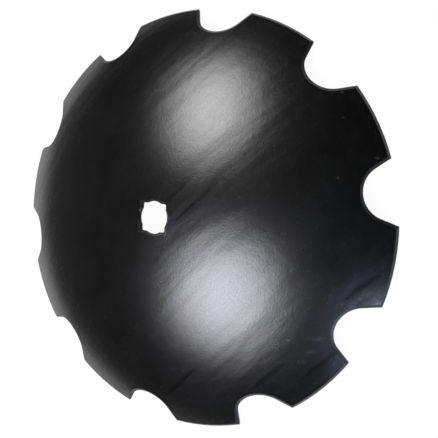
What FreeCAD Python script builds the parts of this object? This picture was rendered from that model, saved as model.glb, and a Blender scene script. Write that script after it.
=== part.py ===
import FreeCAD, Part
import math
import os

import Sketcher

# Notched disc blade of a disc harrow: one piece of boron steel plate.
# The flat blank is cut out with its scallops and its arbor hole, its edge is bevelled
# from one side, and the blank is then heated, pressed to a spherical dish and hardened.
# Frame: the blade lies dome up. +Z is the blade's own axis, from the hollow side to the
# crown. The origin is on that axis, in the plane that the teeth stand on.

DRIVING_DIMENSIONS = {
    "rim_radius": 305.0,        # 24 inch blade, measured over its teeth
    "dome_radius": 551.0,       # radius of the dish on the crowned side
    "plate_thickness": 6.0,
    "bevel_width": 4.5,         # bevel, measured along the crowned side
    "bevel_depth": 2.0,         # bevel, measured down the edge
    "notch_count": 10.0,
    "notch_radius": 35.5,       # round bottom of a scallop
    "notch_inset": 9.0,         # from the rim in to the centre of that round
    "notch_mouth": 89.0,        # width across the scallop's flanks at the rim
    "arbor_round": 44.45,       # takes a 1 3/4 inch round shaft
    "arbor_square": 38.1,       # takes a 1 1/2 inch square shaft
    "arbor_corner": 2.5,        # radius in the corners of the square
    "arbor_turn": 7.0,          # square's flats against the scallops, in degrees
    "arbor_break": 0.8,         # chamfer round the hole on the crowned side
}

CUTTER_REACH = 20.0             # how far a cutter runs past the plate
HUB_ZONE = 60.0                 # an edge nearer the axis than this belongs to the arbor hole
SURFACE_TOLERANCE = 0.01

doc = FreeCAD.newDocument("disc_blade")

sheet = doc.addObject("Spreadsheet::Sheet", "Dimensions")
for row, (alias, value) in enumerate(DRIVING_DIMENSIONS.items(), start=1):
    sheet.set(f"A{row}", alias)
    sheet.set(f"B{row}", str(value))
    sheet.setAlias(f"B{row}", alias)
doc.recompute()


def size(alias):
    return float(sheet.get(alias))


# Points of a sketch line or arc, and a sketch's own axes and origin, as Sketcher numbers them.
START, END, CENTRE = 1, 2, 3
H_AXIS, V_AXIS = -1, -2
ORIGIN = (-1, 1)
SKETCH_NORMAL = FreeCAD.Vector(0, 0, 1)


def origin_feature(body, role):
    for feature in body.Origin.OriginFeatures:
        if feature.Role == role:
            return feature
    raise RuntimeError(f"the body has no {role}")


def new_sketch(body, name, plane_role):
    sketch = body.newObject("Sketcher::SketchObject", name)
    sketch.AttachmentSupport = (origin_feature(body, plane_role), "")
    sketch.MapMode = "FlatFace"
    return sketch


def constrain(sketch, *constraints):
    for constraint in constraints:
        sketch.addConstraint(Sketcher.Constraint(*constraint))


def bind(sketch, name, expression, *constraint):
    """Add a sized constraint and tie its value to the spreadsheet."""
    index = sketch.addConstraint(Sketcher.Constraint(*constraint))
    sketch.renameConstraint(index, name)
    sketch.setExpression(f"Constraints.{name}", expression)


dome_radius = size("dome_radius")
hollow_radius = dome_radius - size("plate_thickness")
land_radius = dome_radius - size("bevel_depth")
rim_angle = math.asin(size("rim_radius") / land_radius)
dome_centre_height = -hollow_radius * math.cos(rim_angle)

blade = doc.addObject("PartDesign::Body", "DiscBlade")
blade.Label = "disc_blade"

# Section of the pressed blank before it is hollowed: the crowned side as an arc, and at the
# rim an edge that points at the arc's centre, as a square-cut edge does once the blank is
# dished. The hollow side meets that edge in the plane that the teeth stand on.
section = new_sketch(blade, "DishSection", "XZ_Plane")


def on_rim_ray(radius):
    return FreeCAD.Vector(radius * math.sin(rim_angle),
                          dome_centre_height + radius * math.cos(rim_angle), 0)


dome_centre = FreeCAD.Vector(0, dome_centre_height, 0)
crown = FreeCAD.Vector(0, dome_centre_height + dome_radius, 0)
base_height = -CUTTER_REACH
base_end = on_rim_ray((base_height - dome_centre_height) / math.cos(rim_angle))
base_middle = FreeCAD.Vector(0, base_height, 0)

crown_arc = section.addGeometry(Part.ArcOfCircle(
    Part.Circle(dome_centre, SKETCH_NORMAL, dome_radius), math.pi / 2 - rim_angle, math.pi / 2))
rim_edge = section.addGeometry(Part.LineSegment(on_rim_ray(dome_radius), base_end))
base = section.addGeometry(Part.LineSegment(base_end, base_middle))
axis_edge = section.addGeometry(Part.LineSegment(base_middle, crown))
hollow_ray = section.addGeometry(
    Part.LineSegment(dome_centre, on_rim_ray(hollow_radius)), True)
land_ray = section.addGeometry(
    Part.LineSegment(on_rim_ray(hollow_radius), on_rim_ray(land_radius)), True)
constrain(
    section,
    ("PointOnObject", crown_arc, CENTRE, V_AXIS),
    ("PointOnObject", crown_arc, END, V_AXIS),
    ("Coincident", hollow_ray, START, crown_arc, CENTRE),
    ("PointOnObject", hollow_ray, END, H_AXIS),
    ("Coincident", land_ray, START, hollow_ray, END),
    ("PointOnObject", land_ray, END, hollow_ray),
    ("Coincident", rim_edge, START, crown_arc, START),
    ("PointOnObject", rim_edge, START, hollow_ray),
    ("PointOnObject", rim_edge, END, hollow_ray),
    ("DistanceY", rim_edge, END, *ORIGIN, CUTTER_REACH),
    ("Coincident", base, START, rim_edge, END),
    ("Horizontal", base),
    ("PointOnObject", base, END, V_AXIS),
    ("Coincident", axis_edge, START, base, END),
    ("Coincident", axis_edge, END, crown_arc, END))
bind(section, "DomeRadius", "Dimensions.dome_radius",
     "Radius", crown_arc, dome_radius)
bind(section, "HollowRadius", "Dimensions.dome_radius - Dimensions.plate_thickness",
     "Distance", hollow_ray, hollow_radius)
bind(section, "LandThickness", "Dimensions.plate_thickness - Dimensions.bevel_depth",
     "Distance", land_ray, land_radius - hollow_radius)
bind(section, "RimRadius", "Dimensions.rim_radius",
     "DistanceX", *ORIGIN, land_ray, END, size("rim_radius"))

dish = blade.newObject("PartDesign::Revolution", "Dish")
dish.Profile = section
dish.ReferenceAxis = (section, ["V_Axis"])
dish.Angle = 360
doc.recompute()

# Hollow side: a sphere about the same centre as the crown leaves a plate of even thickness.
# Its own poles lie level, far below the rim, so that none of them falls on the blade.
RIM_ANGLE = "asin(Dimensions.rim_radius / (Dimensions.dome_radius - Dimensions.bevel_depth))"
HOLLOW_RADIUS = "(Dimensions.dome_radius - Dimensions.plate_thickness)"
hollow = blade.newObject("PartDesign::SubtractiveSphere", "Hollow")
hollow.AttachmentSupport = (origin_feature(blade, "XY_Plane"), "")
hollow.MapMode = "FlatFace"
hollow.AttachmentOffset = FreeCAD.Placement(
    FreeCAD.Vector(0, 0, dome_centre_height),
    FreeCAD.Rotation(FreeCAD.Vector(1, 0, 0), 90))
hollow.Radius = hollow_radius
hollow.setExpression("AttachmentOffset.Base.z", f"-{HOLLOW_RADIUS} * cos({RIM_ANGLE})")
hollow.setExpression("Radius", HOLLOW_RADIUS)
doc.recompute()
if hollow.Shape.Volume >= dish.Shape.Volume:
    raise RuntimeError("the hollow side was not cut")

# One scallop, drawn on the plane that touches the dome at the rim: a round bottom between
# two straight flanks that open outwards and run out through the rim.
LAND_HEIGHT = f"(Dimensions.plate_thickness - Dimensions.bevel_depth) * cos({RIM_ANGLE})"
scallop = new_sketch(blade, "NotchOutline", "XY_Plane")
scallop.AttachmentOffset = FreeCAD.Placement(
    FreeCAD.Vector(size("rim_radius"), 0, on_rim_ray(land_radius).y),
    FreeCAD.Rotation(FreeCAD.Vector(0, 1, 0), math.degrees(rim_angle)))
scallop.setExpression("AttachmentOffset.Base.x", "Dimensions.rim_radius")
scallop.setExpression("AttachmentOffset.Base.z", LAND_HEIGHT)
scallop.setExpression("AttachmentOffset.Rotation.Angle", RIM_ANGLE)

notch_radius = size("notch_radius")
half_mouth = size("notch_mouth") / 2
notch_centre = FreeCAD.Vector(-size("notch_inset"), 0, 0)
mouth_end = FreeCAD.Vector(0, half_mouth, 0)
centre_to_mouth = mouth_end - notch_centre
flank_turn = math.atan2(centre_to_mouth.y, centre_to_mouth.x) \
    + math.acos(notch_radius / centre_to_mouth.Length)
flank_root = notch_centre + FreeCAD.Vector(
    notch_radius * math.cos(flank_turn), notch_radius * math.sin(flank_turn), 0)
flank_direction = (mouth_end - flank_root) / (mouth_end.x - flank_root.x)
flank_end = mouth_end + flank_direction * CUTTER_REACH


def mirrored(point):
    return FreeCAD.Vector(point.x, -point.y, 0)


round_bottom = scallop.addGeometry(Part.ArcOfCircle(
    Part.Circle(notch_centre, SKETCH_NORMAL, notch_radius),
    flank_turn, 2 * math.pi - flank_turn))
left_flank = scallop.addGeometry(Part.LineSegment(flank_root, flank_end))
right_flank = scallop.addGeometry(Part.LineSegment(mirrored(flank_root), mirrored(flank_end)))
outside = scallop.addGeometry(Part.LineSegment(flank_end, mirrored(flank_end)))
mouth = scallop.addGeometry(Part.LineSegment(mouth_end, mirrored(mouth_end)), True)
constrain(
    scallop,
    ("PointOnObject", round_bottom, CENTRE, H_AXIS),
    ("Tangent", round_bottom, START, left_flank, START),
    ("Tangent", round_bottom, END, right_flank, START),
    ("Coincident", left_flank, END, outside, START),
    ("Coincident", right_flank, END, outside, END),
    ("Vertical", outside),
    ("DistanceX", *ORIGIN, outside, START, CUTTER_REACH),
    ("PointOnObject", mouth, START, V_AXIS),
    ("Symmetric", mouth, START, mouth, END, *ORIGIN),
    ("PointOnObject", mouth, START, left_flank),
    ("PointOnObject", mouth, END, right_flank))
bind(scallop, "BottomRadius", "Dimensions.notch_radius",
     "Radius", round_bottom, notch_radius)
bind(scallop, "Inset", "Dimensions.notch_inset",
     "DistanceX", round_bottom, CENTRE, *ORIGIN, size("notch_inset"))
bind(scallop, "Mouth", "Dimensions.notch_mouth",
     "Distance", mouth, size("notch_mouth"))

notch = blade.newObject("PartDesign::Pocket", "Notch")
notch.Profile = scallop
notch.SideType = "Symmetric"
notch.Length = 2 * CUTTER_REACH
doc.recompute()

# The scallops stand at equal angles round the rim and leave the teeth between them.
notches = blade.newObject("PartDesign::PolarPattern", "Notches")
notches.Originals = [notch]
notches.Axis = (origin_feature(blade, "Z_Axis"), [""])
notches.Angle = 360
notches.Occurrences = int(size("notch_count"))
notches.setExpression("Occurrences", "Dimensions.notch_count")
blade.Tip = notches
doc.recompute()

# Arbor hole: a round hole and a square one on the same centre, so that the blade fits
# either shaft. The square's corners stand out past the round.
shaft_round = new_sketch(blade, "ArborRoundOutline", "XY_Plane")
shaft_circle = shaft_round.addGeometry(
    Part.Circle(FreeCAD.Vector(), SKETCH_NORMAL, size("arbor_round") / 2))
constrain(shaft_round, ("Coincident", shaft_circle, CENTRE, *ORIGIN))
bind(shaft_round, "ShaftDiameter", "Dimensions.arbor_round",
     "Diameter", shaft_circle, size("arbor_round"))

shaft_square = new_sketch(blade, "ArborSquareOutline", "XY_Plane")
shaft_square.AttachmentOffset = FreeCAD.Placement(
    FreeCAD.Vector(), FreeCAD.Rotation(SKETCH_NORMAL, size("arbor_turn")))
shaft_square.setExpression(
    "AttachmentOffset.Rotation.Angle", "Dimensions.arbor_turn * 1 deg")
half_side = size("arbor_square") / 2
corners = [FreeCAD.Vector(x * half_side, y * half_side, 0)
           for x, y in ((-1, -1), (1, -1), (1, 1), (-1, 1))]
sides = [shaft_square.addGeometry(Part.LineSegment(corner, corners[(i + 1) % 4]))
         for i, corner in enumerate(corners)]
for i, direction in enumerate(("Horizontal", "Vertical", "Horizontal", "Vertical")):
    constrain(shaft_square,
              ("Coincident", sides[i], END, sides[(i + 1) % 4], START),
              (direction, sides[i]))
constrain(shaft_square,
          ("Equal", sides[0], sides[1]),
          ("Symmetric", sides[0], START, sides[2], START, *ORIGIN))
bind(shaft_square, "SquareSide", "Dimensions.arbor_square",
     "Distance", sides[0], size("arbor_square"))


def punch(name, profile):
    """Cut a hole straight up through the crown, and make sure that it did cut."""
    volume_before = blade.Tip.Shape.Volume
    pocket = blade.newObject("PartDesign::Pocket", name)
    pocket.Profile = profile
    pocket.Type = "ThroughAll"
    pocket.Reversed = True
    doc.recompute()
    if pocket.Shape.Volume >= volume_before:
        raise RuntimeError(f"{name} cut nothing")
    return pocket


arbor_round = punch("ArborRound", shaft_round)
arbor_square = punch("ArborSquare", shaft_square)


def edges_where(feature, wanted):
    return [f"Edge{number}" for number, edge in enumerate(feature.Shape.Edges, start=1)
            if wanted(edge)]


def distance_from_axis(point):
    return math.hypot(point.x, point.y)


def is_arbor_corner(edge):
    middle = distance_from_axis(edge.CenterOfMass)
    through_plate = abs(edge.Length - size("plate_thickness")) < SURFACE_TOLERANCE * 100
    return through_plate and size("arbor_round") / 2 + 1 < middle < HUB_ZONE


def is_on_crowned_side(edge):
    centre = FreeCAD.Vector(0, 0, dome_centre_height)
    return all(abs(point.distanceToPoint(centre) - dome_radius) < SURFACE_TOLERANCE
               for point in edge.discretize(5))


def is_cutting_edge(edge):
    return is_on_crowned_side(edge) and distance_from_axis(edge.CenterOfMass) > HUB_ZONE


def is_arbor_mouth(edge):
    return is_on_crowned_side(edge) and distance_from_axis(edge.CenterOfMass) < HUB_ZONE


arbor_corners = blade.newObject("PartDesign::Fillet", "ArborCorners")
arbor_corners.Base = (arbor_square, edges_where(arbor_square, is_arbor_corner))
arbor_corners.Radius = size("arbor_corner")
arbor_corners.setExpression("Radius", "Dimensions.arbor_corner")
doc.recompute()

# Bevelled from the crowned side all the way round, teeth and scallops alike. A land of
# full hardness is left below it.
bevel = blade.newObject("PartDesign::Chamfer", "Bevel")
bevel.Base = (arbor_corners, edges_where(arbor_corners, is_cutting_edge))
bevel.ChamferType = "Two distances"
bevel.Size = size("bevel_depth")
bevel.Size2 = size("bevel_width")
bevel.FlipDirection = True
bevel.setExpression("Size", "Dimensions.bevel_depth")
bevel.setExpression("Size2", "Dimensions.bevel_width")
doc.recompute()
reach = max(distance_from_axis(vertex.Point) for vertex in bevel.Shape.Vertexes)
if abs(reach - size("rim_radius")) > SURFACE_TOLERANCE:
    raise RuntimeError(f"the bevel leaves the blade {reach:.2f} mm in radius")

arbor_break = blade.newObject("PartDesign::Chamfer", "ArborBreak")
arbor_break.Base = (bevel, edges_where(bevel, is_arbor_mouth))
arbor_break.Size = size("arbor_break")
arbor_break.setExpression("Size", "Dimensions.arbor_break")
blade.Tip = arbor_break
doc.recompute()

for item in doc.Objects:
    if "Invalid" in item.State or "Error" in item.State:
        raise RuntimeError(f"{item.Name} did not build: {item.State}")
for sketch in (section, scallop, shaft_round, shaft_square):
    if not sketch.FullyConstrained:
        raise RuntimeError(f"{sketch.Name} is not fully constrained")
if blade.Shape.isNull() or not blade.Shape.isValid() or len(blade.Shape.Solids) != 1:
    raise RuntimeError("the blade is not one valid solid")

os.makedirs("parts", exist_ok=True)
blade.Shape.exportStep(f"parts/{blade.Label}.step")
print(f"{blade.Label}: {blade.Shape.Volume:.0f} cubic mm, "
      f"dish {dome_centre_height + hollow_radius:.1f} mm deep inside")
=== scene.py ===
import math

import bpy
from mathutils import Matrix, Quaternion, Vector


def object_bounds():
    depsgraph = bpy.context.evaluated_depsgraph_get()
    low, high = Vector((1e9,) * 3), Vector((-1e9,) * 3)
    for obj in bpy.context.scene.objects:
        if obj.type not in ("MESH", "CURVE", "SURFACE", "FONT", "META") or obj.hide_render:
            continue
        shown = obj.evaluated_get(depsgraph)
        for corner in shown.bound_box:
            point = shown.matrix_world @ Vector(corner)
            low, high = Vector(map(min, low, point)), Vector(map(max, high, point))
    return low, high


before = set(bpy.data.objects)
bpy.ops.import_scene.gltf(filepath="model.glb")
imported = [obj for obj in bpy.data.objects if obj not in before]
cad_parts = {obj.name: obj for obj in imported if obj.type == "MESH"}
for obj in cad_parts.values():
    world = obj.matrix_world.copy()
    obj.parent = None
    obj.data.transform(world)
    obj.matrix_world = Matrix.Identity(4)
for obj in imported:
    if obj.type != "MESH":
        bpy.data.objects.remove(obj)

cad_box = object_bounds()
MM = 0.001


# ---------------------------------------------------------------------------------------
# The blade
# One 6 mm plate of boron steel, dished, scalloped and bevelled. It leaves the works dipped
# in black enamel, which follows every mark that rolling, pressing and handling left on it.
# All its shape is in the solid, so this section only gives it its finish.

DOME_RADIUS_MM = 551.0
PLATE_MM = 6.0
BEVEL_DEPTH_MM = 2.0
RIM_RADIUS_MM = 305.0
RIM_ANGLE = math.asin(RIM_RADIUS_MM / (DOME_RADIUS_MM - BEVEL_DEPTH_MM))
DOME_CENTRE_MM = Vector((0, 0, -(DOME_RADIUS_MM - PLATE_MM) * math.cos(RIM_ANGLE)))


def linear(hex_colour):
    """sRGB hex colour to linear RGBA."""
    channels = [int(hex_colour[i:i + 2], 16) / 255 for i in (1, 3, 5)]
    return tuple(c / 12.92 if c <= 0.04045 else ((c + 0.055) / 1.055) ** 2.4
                 for c in channels) + (1.0,)


def add_node(tree, kind, inputs=(), **settings):
    """Add a node, set its options, and set or link its inputs."""
    node = tree.nodes.new(kind)
    for name, value in settings.items():
        setattr(node, name, value)
    for key, value in dict(inputs).items():
        if isinstance(value, bpy.types.NodeSocket):
            tree.links.new(value, node.inputs[key])
        else:
            node.inputs[key].default_value = value
    return node


def new_material(name):
    material = bpy.data.materials.new(name)
    material.use_nodes = True
    material.node_tree.nodes.clear()
    return material, material.node_tree


def maths(tree, operation, *values, clamp=False):
    return add_node(tree, "ShaderNodeMath", dict(enumerate(values)),
                    operation=operation, use_clamp=clamp).outputs[0]


def ramp(tree, value, low, high, to_low=0.0, to_high=1.0):
    """Smooth step of a value from one level to another."""
    return add_node(tree, "ShaderNodeMapRange",
                    {0: value, 1: low, 2: high, 3: to_low, 4: to_high},
                    interpolation_type="SMOOTHSTEP").outputs[0]


def noise(tree, vector, size_mm, detail=2.0, roughness=0.5):
    """Noise whose lumps are about size_mm across, over a vector in millimetres."""
    return add_node(tree, "ShaderNodeTexNoise",
                    {"Vector": vector, "Scale": 1 / size_mm, "Detail": detail,
                     "Roughness": roughness}).outputs["Fac"]


def drawn_out(tree, vector, length_mm, width_mm):
    """A vector in lengths along and widths across, for a pattern drawn out along it."""
    return add_node(tree, "ShaderNodeMapping",
                    {"Vector": vector, "Scale": (1 / length_mm, 1 / width_mm, 1)}).outputs[0]


def distance(tree, vector, point):
    return add_node(tree, "ShaderNodeVectorMath", {0: vector, 1: point},
                    operation="DISTANCE").outputs["Value"]


def flattened(tree, vector, turn=0.0):
    """The vector seen straight down the blade's axis, and turned round it."""
    return add_node(tree, "ShaderNodeMapping",
                    {"Vector": vector, "Rotation": (0, 0, turn),
                     "Scale": (1, 1, 0)}).outputs[0]


def mark(tree, vector, middle, length, width, turn=0.0):
    """Soft oval mark on a flat vector in millimetres, strongest in its middle."""
    local = add_node(tree, "ShaderNodeMapping",
                     {"Vector": vector, "Location": (*middle, 0), "Rotation": (0, 0, turn),
                      "Scale": (length / 2, width / 2, 1)}, vector_type="TEXTURE").outputs[0]
    return ramp(tree, distance(tree, local, (0, 0, 0)), 1.0, 0.0)


def scaled(tree, value, amount):
    return maths(tree, "MULTIPLY", value, amount)


# Black enamel, dipped and air dried: a thin glossy film with an orange peel of a few
# millimetres. It keeps the long waves and dull streaks that rolling left in the plate, it is
# thin on the bevel and the cut edges, the punched wall of the arbor hole is kept dark as
# painted shade, and the lip round the hole is painted paler as a highlight.
enamel, tree = new_material("black_dipped_enamel")
position = add_node(tree, "ShaderNodeTexCoord").outputs["Object"]
place = add_node(tree, "ShaderNodeVectorMath", {0: position, "Scale": 1 / MM},
                 operation="SCALE").outputs[0]
flat = flattened(tree, place)
ROLLING_DIRECTION = math.radians(-37.5)
rolled = flattened(tree, place, -ROLLING_DIRECTION)

# The bevel and the cut edges lie between the crowned and the hollow side, so their distance
# from the dome's centre tells them apart from both.
HOLLOW_RADIUS_MM = DOME_RADIUS_MM - PLATE_MM
shell = distance(tree, place, DOME_CENTRE_MM)
on_edge = maths(tree, "MULTIPLY",
                ramp(tree, shell, DOME_RADIUS_MM - 0.05, DOME_RADIUS_MM - 0.3),
                ramp(tree, shell, HOLLOW_RADIUS_MM + 0.02, HOLLOW_RADIUS_MM + 0.2))

# The distance outwards from the arbor hole, a round and a square on one centre, gives its
# wall, darkened as painted shade, and the ragged lip that the punch raised round it, whose
# paler colour is a painted highlight. Each fades over a short way.
ARBOR_ROUND_MM = 44.45
ARBOR_SQUARE_MM = 38.1
ARBOR_TURN = math.radians(7)
WALL_FADE_MM = (0.7, 0.2)
LIP_INNER_FADE_MM = (0.2, 1.2)
LIP_OUTER_FADE_MM = (3.4, 1.6)
LIP_LUMPS_MM = 5.0
squared = add_node(tree, "ShaderNodeSeparateXYZ", {0: flattened(tree, place, -ARBOR_TURN)})
past_square = maths(tree, "SUBTRACT",
                    maths(tree, "MAXIMUM", maths(tree, "ABSOLUTE", squared.outputs[0]),
                          maths(tree, "ABSOLUTE", squared.outputs[1])), ARBOR_SQUARE_MM / 2)
past_round = maths(tree, "SUBTRACT", distance(tree, rolled, (0, 0, 0)), ARBOR_ROUND_MM / 2)
from_hole = maths(tree, "MINIMUM", past_square, past_round)
# Painted shade: the hole's wall is made to reflect almost nothing, so it shows dark.
hole_wall_painted_shade = ramp(tree, from_hole, *WALL_FADE_MM)
# The lip is a real raised burr; its paler colour below is a painted highlight.
lip_and_painted_highlight = maths(tree, "MULTIPLY", ramp(tree, from_hole, *LIP_INNER_FADE_MM),
            ramp(tree, from_hole, *LIP_OUTER_FADE_MM))
lip_and_painted_highlight = maths(tree, "MULTIPLY", lip_and_painted_highlight, ramp(tree, noise(tree, place, LIP_LUMPS_MM), 0.4, 0.55))

# Orange peel, sags, patches and a fine speckle of the film, and the waves and smears that
# rolling drew out in the plate.
PEEL_MM, SAG_MM, PATCH_MM, SPECKLE_MM = 2.4, 11.0, 55.0, 2.0
peel = noise(tree, place, PEEL_MM, detail=2.5, roughness=0.62)
sags = noise(tree, place, SAG_MM, detail=1.0)
patches = noise(tree, place, PATCH_MM, detail=3.0, roughness=0.6)
speckle = ramp(tree, noise(tree, place, SPECKLE_MM, detail=1.0), 0.35, 0.65)
WAVE_LENGTH_MM, WAVE_WIDTH_MM = 130, 28
waves = noise(tree, drawn_out(tree, rolled, WAVE_LENGTH_MM, WAVE_WIDTH_MM), 1.0,
              detail=2.0, roughness=0.45)
SMEAR_LENGTH_MM, SMEAR_WIDTH_MM = 34, 7
smears = noise(tree, drawn_out(tree, rolled, SMEAR_LENGTH_MM, SMEAR_WIDTH_MM), 1.0,
               detail=2.5, roughness=0.6)
smears = ramp(tree, smears, 0.45, 0.75)

# Pinholes in the film, two or three millimetres across and a few centimetres apart.
PINHOLE_SPACING_MM = 34.0
PINHOLE_RADIUS_MM = 1.87
PINHOLE_BOTTOM_MM = 0.68
cells = add_node(tree, "ShaderNodeTexVoronoi",
                 {"Vector": place, "Scale": 1 / PINHOLE_SPACING_MM})
pinholes = ramp(tree, cells.outputs["Distance"], PINHOLE_RADIUS_MM / PINHOLE_SPACING_MM,
                PINHOLE_BOTTOM_MM / PINHOLE_SPACING_MM)

# The dull rolling streaks: middle along and across, length and width in millimetres. The
# plate stands up in a low ridge between the two that start at the arbor hole.
ROLLING_STREAKS = (
    ((54, 2), 74, 8),
    ((66, -26), 140, 9),
    ((-139, -184), 130, 11),
    ((-27, -251), 120, 11),
    ((38, -279), 110, 10),
    ((141, -236), 80, 11),
)
streaks = 0.0
for middle, length, width in ROLLING_STREAKS:
    streaks = maths(tree, "MAXIMUM", streaks, mark(tree, rolled, middle, length, width))
streaks = maths(tree, "MULTIPLY", ramp(tree, streaks, 0.0, 0.7),
                ramp(tree, sags, 0.3, 0.6, 0.6, 1.0))
ridge = mark(tree, rolled, (64, -12), 120, 30)

# Scuffs where other blades rubbed in the stack, all in one direction: middle, length and
# width in millimetres, and how strong.
SCUFF_DIRECTION = math.radians(-78)
SCUFFS = (
    ((-109, -233), 28, 10, 0.22),
    ((-128, -229), 26, 9, 0.22),
    ((-144, -222), 26, 9, 0.18),
    ((-118, -201), 9, 4, 0.9),
    ((206, -199), 7, 5, 0.8),
    ((174, -209), 6, 4, 0.7),
    ((98, -222), 6, 5, 0.7),
    ((131, -259), 8, 5, 0.8),
)
scuffs = 0.0
for middle, length, width, strength in SCUFFS:
    scuff = mark(tree, flat, middle, length, width, SCUFF_DIRECTION)
    scuffs = maths(tree, "MAXIMUM", scuffs, scaled(tree, scuff, strength))
scuffs = maths(tree, "MULTIPLY", scuffs, ramp(tree, peel, 0.35, 0.6, 0.3, 1.0))

# Near black, a little paler where the film is thin and in the scuffs. The lip is paler
# still, as a painted highlight.
colour = linear("#0d0d0c")
for share, paler in ((ramp(tree, patches, 0.35, 0.7), "#131312"), (on_edge, "#111112"),
                     (lip_and_painted_highlight, "#303032"), (scaled(tree, scuffs, 0.5), "#6a6b6d")):
    colour = add_node(tree, "ShaderNodeMix", {0: share, 6: colour, 7: linear(paler)},
                      data_type="RGBA").outputs[2]

# A metal as dark as this reflects next to nothing, so a share of it dulls the film.
dull = 0.0
# On the arbor hole's wall this is painted shade, dulled almost to black.
for layer, amount in ((speckle, 0.08), (streaks, 0.5), (pinholes, 0.4), (hole_wall_painted_shade, 0.95),
                      (on_edge, 0.35)):
    dull = maths(tree, "MAXIMUM", dull, scaled(tree, layer, amount))

roughness = ramp(tree, peel, 0.3, 0.7, 0.22, 0.255)
for layer, amount in ((patches, 0.02), (smears, 0.015), (scuffs, 0.18), (on_edge, 0.15)):
    roughness = maths(tree, "ADD", roughness, scaled(tree, layer, amount))

# Heights and depths in millimetres.
PEEL_HEIGHT, SAG_HEIGHT, WAVE_HEIGHT = 0.12, 0.10, 0.70
RIDGE_HEIGHT, LIP_HEIGHT = 0.12, 0.12
SMEAR_DEPTH, STREAK_DEPTH = 0.02, 0.02
height = 0.0
for layer, rise in ((peel, PEEL_HEIGHT), (sags, SAG_HEIGHT), (waves, WAVE_HEIGHT),
                    (smears, -SMEAR_DEPTH), (streaks, -STREAK_DEPTH),
                    (ridge, RIDGE_HEIGHT), (lip_and_painted_highlight, LIP_HEIGHT)):
    height = maths(tree, "ADD", height, scaled(tree, layer, rise))
surface = add_node(tree, "ShaderNodeBump", {"Height": height, "Distance": MM, "Strength": 1.0})

paint = add_node(tree, "ShaderNodeBsdfPrincipled",
                 {"Base Color": colour, "Metallic": dull, "Roughness": roughness, "IOR": 1.6,
                  "Specular IOR Level": 1.0, "Normal": surface.outputs[0]})
add_node(tree, "ShaderNodeOutputMaterial", {"Surface": paint.outputs[0]})

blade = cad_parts["disc_blade"]
for material_slot in blade.material_slots:
    material_slot.material = enamel


# ---------------------------------------------------------------------------------------
# The studio
# White paper that runs out of sight under the blade, two soft boxes above it, a window
# low down beyond its rim, and a dim room.

FLOOR_SIZE = 12.0
FLOOR_GAP = 0.0002
floor_mesh = bpy.data.meshes.new("floor")
half = FLOOR_SIZE / 2
floor_mesh.from_pydata([(-half, -half, 0), (half, -half, 0), (half, half, 0), (-half, half, 0)],
                       [], [(0, 1, 2, 3)])
floor = bpy.data.objects.new("floor", floor_mesh)
floor.location.z = cad_box[0].z - FLOOR_GAP
bpy.context.scene.collection.objects.link(floor)

# White seamless paper. Seen straight it is white, with a little of the blade's shadow left.
# The gloss of the rim shows only the lit paper round the blade, which fades outwards.
SHADOW_LEFT = 0.06
WHITE_GLOW = 1.02
LIT_GLOW, LIT_RADIUS, DARK_RADIUS = 0.815, 0.30, 0.77
paper, tree = new_material("white_seamless_paper")
rays = add_node(tree, "ShaderNodeLightPath")
seen = maths(tree, "MAXIMUM", rays.outputs["Is Camera Ray"],
             maths(tree, "MAXIMUM", rays.outputs["Is Glossy Ray"],
                   rays.outputs["Is Transmission Ray"]))
spot = add_node(tree, "ShaderNodeTexCoord").outputs["Object"]
mirrored = ramp(tree, distance(tree, spot, (0, 0, 0)), LIT_RADIUS, DARK_RADIUS, LIT_GLOW, 0.0)
glow = add_node(tree, "ShaderNodeMix",
                {0: rays.outputs["Is Glossy Ray"], 2: WHITE_GLOW, 3: mirrored}).outputs[0]
matt = add_node(tree, "ShaderNodeBsdfDiffuse", {"Color": linear("#f4f4f2")})
white = add_node(tree, "ShaderNodeEmission", {"Color": linear("#ffffff"), "Strength": glow})
mixed = add_node(tree, "ShaderNodeMixShader",
                 {0: scaled(tree, seen, 1 - SHADOW_LEFT),
                  1: matt.outputs[0], 2: white.outputs[0]})
add_node(tree, "ShaderNodeOutputMaterial", {"Surface": mixed.outputs[0]})
floor_mesh.materials.append(paper)

LAMP_DISTANCE = 2.0
LAMP_FALL_OFF = 1.3


def soft_lamp(name, aimed_at, towards, size, turn, power, colour):
    """An oval soft box, brightest in its middle, that faces a point of the blade."""
    lamp = bpy.data.lights.new(name, "AREA")
    lamp.shape = "ELLIPSE"
    lamp.size, lamp.size_y = size
    lamp.energy = power
    lamp.use_nodes = True
    tree = lamp.node_tree
    tree.nodes.clear()
    spot = add_node(tree, "ShaderNodeNewGeometry").outputs["Parametric"]
    out = scaled(tree, distance(tree, spot, (0.5, 0.5, 0)), 2.0)
    inside = maths(tree, "SUBTRACT", 1.0, maths(tree, "POWER", out, 2.0), clamp=True)
    glow = add_node(tree, "ShaderNodeEmission",
                    {"Color": linear(colour),
                     "Strength": maths(tree, "POWER", inside, LAMP_FALL_OFF)})
    add_node(tree, "ShaderNodeOutputLight", {"Surface": glow.outputs[0]})
    holder = bpy.data.objects.new(name, lamp)
    direction = Vector(towards).normalized()
    holder.location = Vector(aimed_at) + LAMP_DISTANCE * direction
    holder.rotation_mode = "QUATERNION"
    holder.rotation_quaternion = direction.to_track_quat("Z", "Y") @ Quaternion((0, 0, 1), turn)
    bpy.context.scene.collection.objects.link(holder)


soft_lamp("near_lamp", aimed_at=(-0.071, -0.113, 0.081), towards=(-0.4929, 0.0303, 0.8696),
          size=(1.83, 2.14), turn=-0.145, power=78.0, colour="#f6f7ff")
soft_lamp("far_lamp", aimed_at=(0.161, -0.039, 0.072), towards=(0.5406, 0.3482, 0.7658),
          size=(1.47, 1.94), turn=-0.324, power=45.0, colour="#ffffff")
soft_lamp("window", aimed_at=(-0.037, -0.291, 0.013), towards=(-0.5536, -0.7744, 0.3064),
          size=(0.70, 1.12), turn=0.0, power=60.0, colour="#c2ceec")

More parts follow.
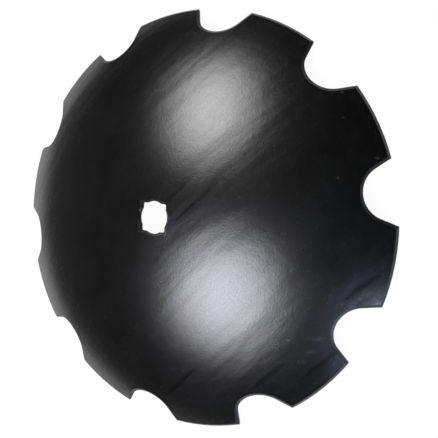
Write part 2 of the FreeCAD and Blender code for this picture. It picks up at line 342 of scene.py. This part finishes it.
# The room is nearly dark, with a lighter wall behind the blade and a little light from
# overhead. To the camera itself it is as white as the paper.
DARKEST = 0.002
world = bpy.data.worlds.new("studio_room")
world.use_nodes = True
bpy.context.scene.world = world
tree = world.node_tree
tree.nodes.clear()
rays = add_node(tree, "ShaderNodeLightPath")
direction = add_node(tree, "ShaderNodeTexCoord").outputs["Generated"]
upward = add_node(tree, "ShaderNodeSeparateXYZ", {0: direction}).outputs[2]
squares = add_node(tree, "ShaderNodeVectorMath", {0: direction, 1: direction},
                   operation="MULTIPLY").outputs[0]
raised = add_node(tree, "ShaderNodeVectorMath", {0: direction, "Scale": upward},
                  operation="SCALE").outputs[0]
level = 0.0
for vector, slope in ((direction, (-0.074, 0.127, 0.037)), (squares, (-0.145, -0.034, 0.0)),
                      (raised, (0.093, -0.139, 0.0))):
    share = add_node(tree, "ShaderNodeVectorMath", {0: vector, 1: slope},
                     operation="DOT_PRODUCT").outputs["Value"]
    level = maths(tree, "ADD", level, share)
level = maths(tree, "MAXIMUM", level, DARKEST)
room = add_node(tree, "ShaderNodeBackground", {"Color": linear("#f2f4fa"), "Strength": level})
backdrop = add_node(tree, "ShaderNodeBackground",
                    {"Color": linear("#ffffff"), "Strength": 1.0})
mixed = add_node(tree, "ShaderNodeMixShader",
                 {0: rays.outputs["Is Camera Ray"], 1: room.outputs[0], 2: backdrop.outputs[0]})
add_node(tree, "ShaderNodeOutputWorld", {"Surface": mixed.outputs[0]})


# ---------------------------------------------------------------------------------------
# The camera
# It looks down on the crowned side from beside the blade, and is turned on its side, so
# that the blade looks taller than it is wide.

AIM = Vector((0.045, -0.068, 0.050))
AZIMUTH, ELEVATION, ROLL = (math.radians(a) for a in (-79.68, 62.76, -88.73))
DISTANCE = 0.8085
camera_data = bpy.data.cameras.new("camera")
camera_data.sensor_width = 36.0
camera_data.lens = 49.07
camera_data.shift_y = -0.0549
camera_data.clip_start = 0.01
camera = bpy.data.objects.new("camera", camera_data)
back = Vector((math.cos(ELEVATION) * math.cos(AZIMUTH),
               math.cos(ELEVATION) * math.sin(AZIMUTH), math.sin(ELEVATION)))
camera.location = AIM + DISTANCE * back
camera.rotation_mode = "QUATERNION"
camera.rotation_quaternion = back.to_track_quat("Z", "Y") @ Quaternion((0, 0, 1), ROLL)
bpy.context.scene.collection.objects.link(camera)
bpy.context.scene.camera = camera
bpy.context.scene.view_settings.view_transform = "Standard"
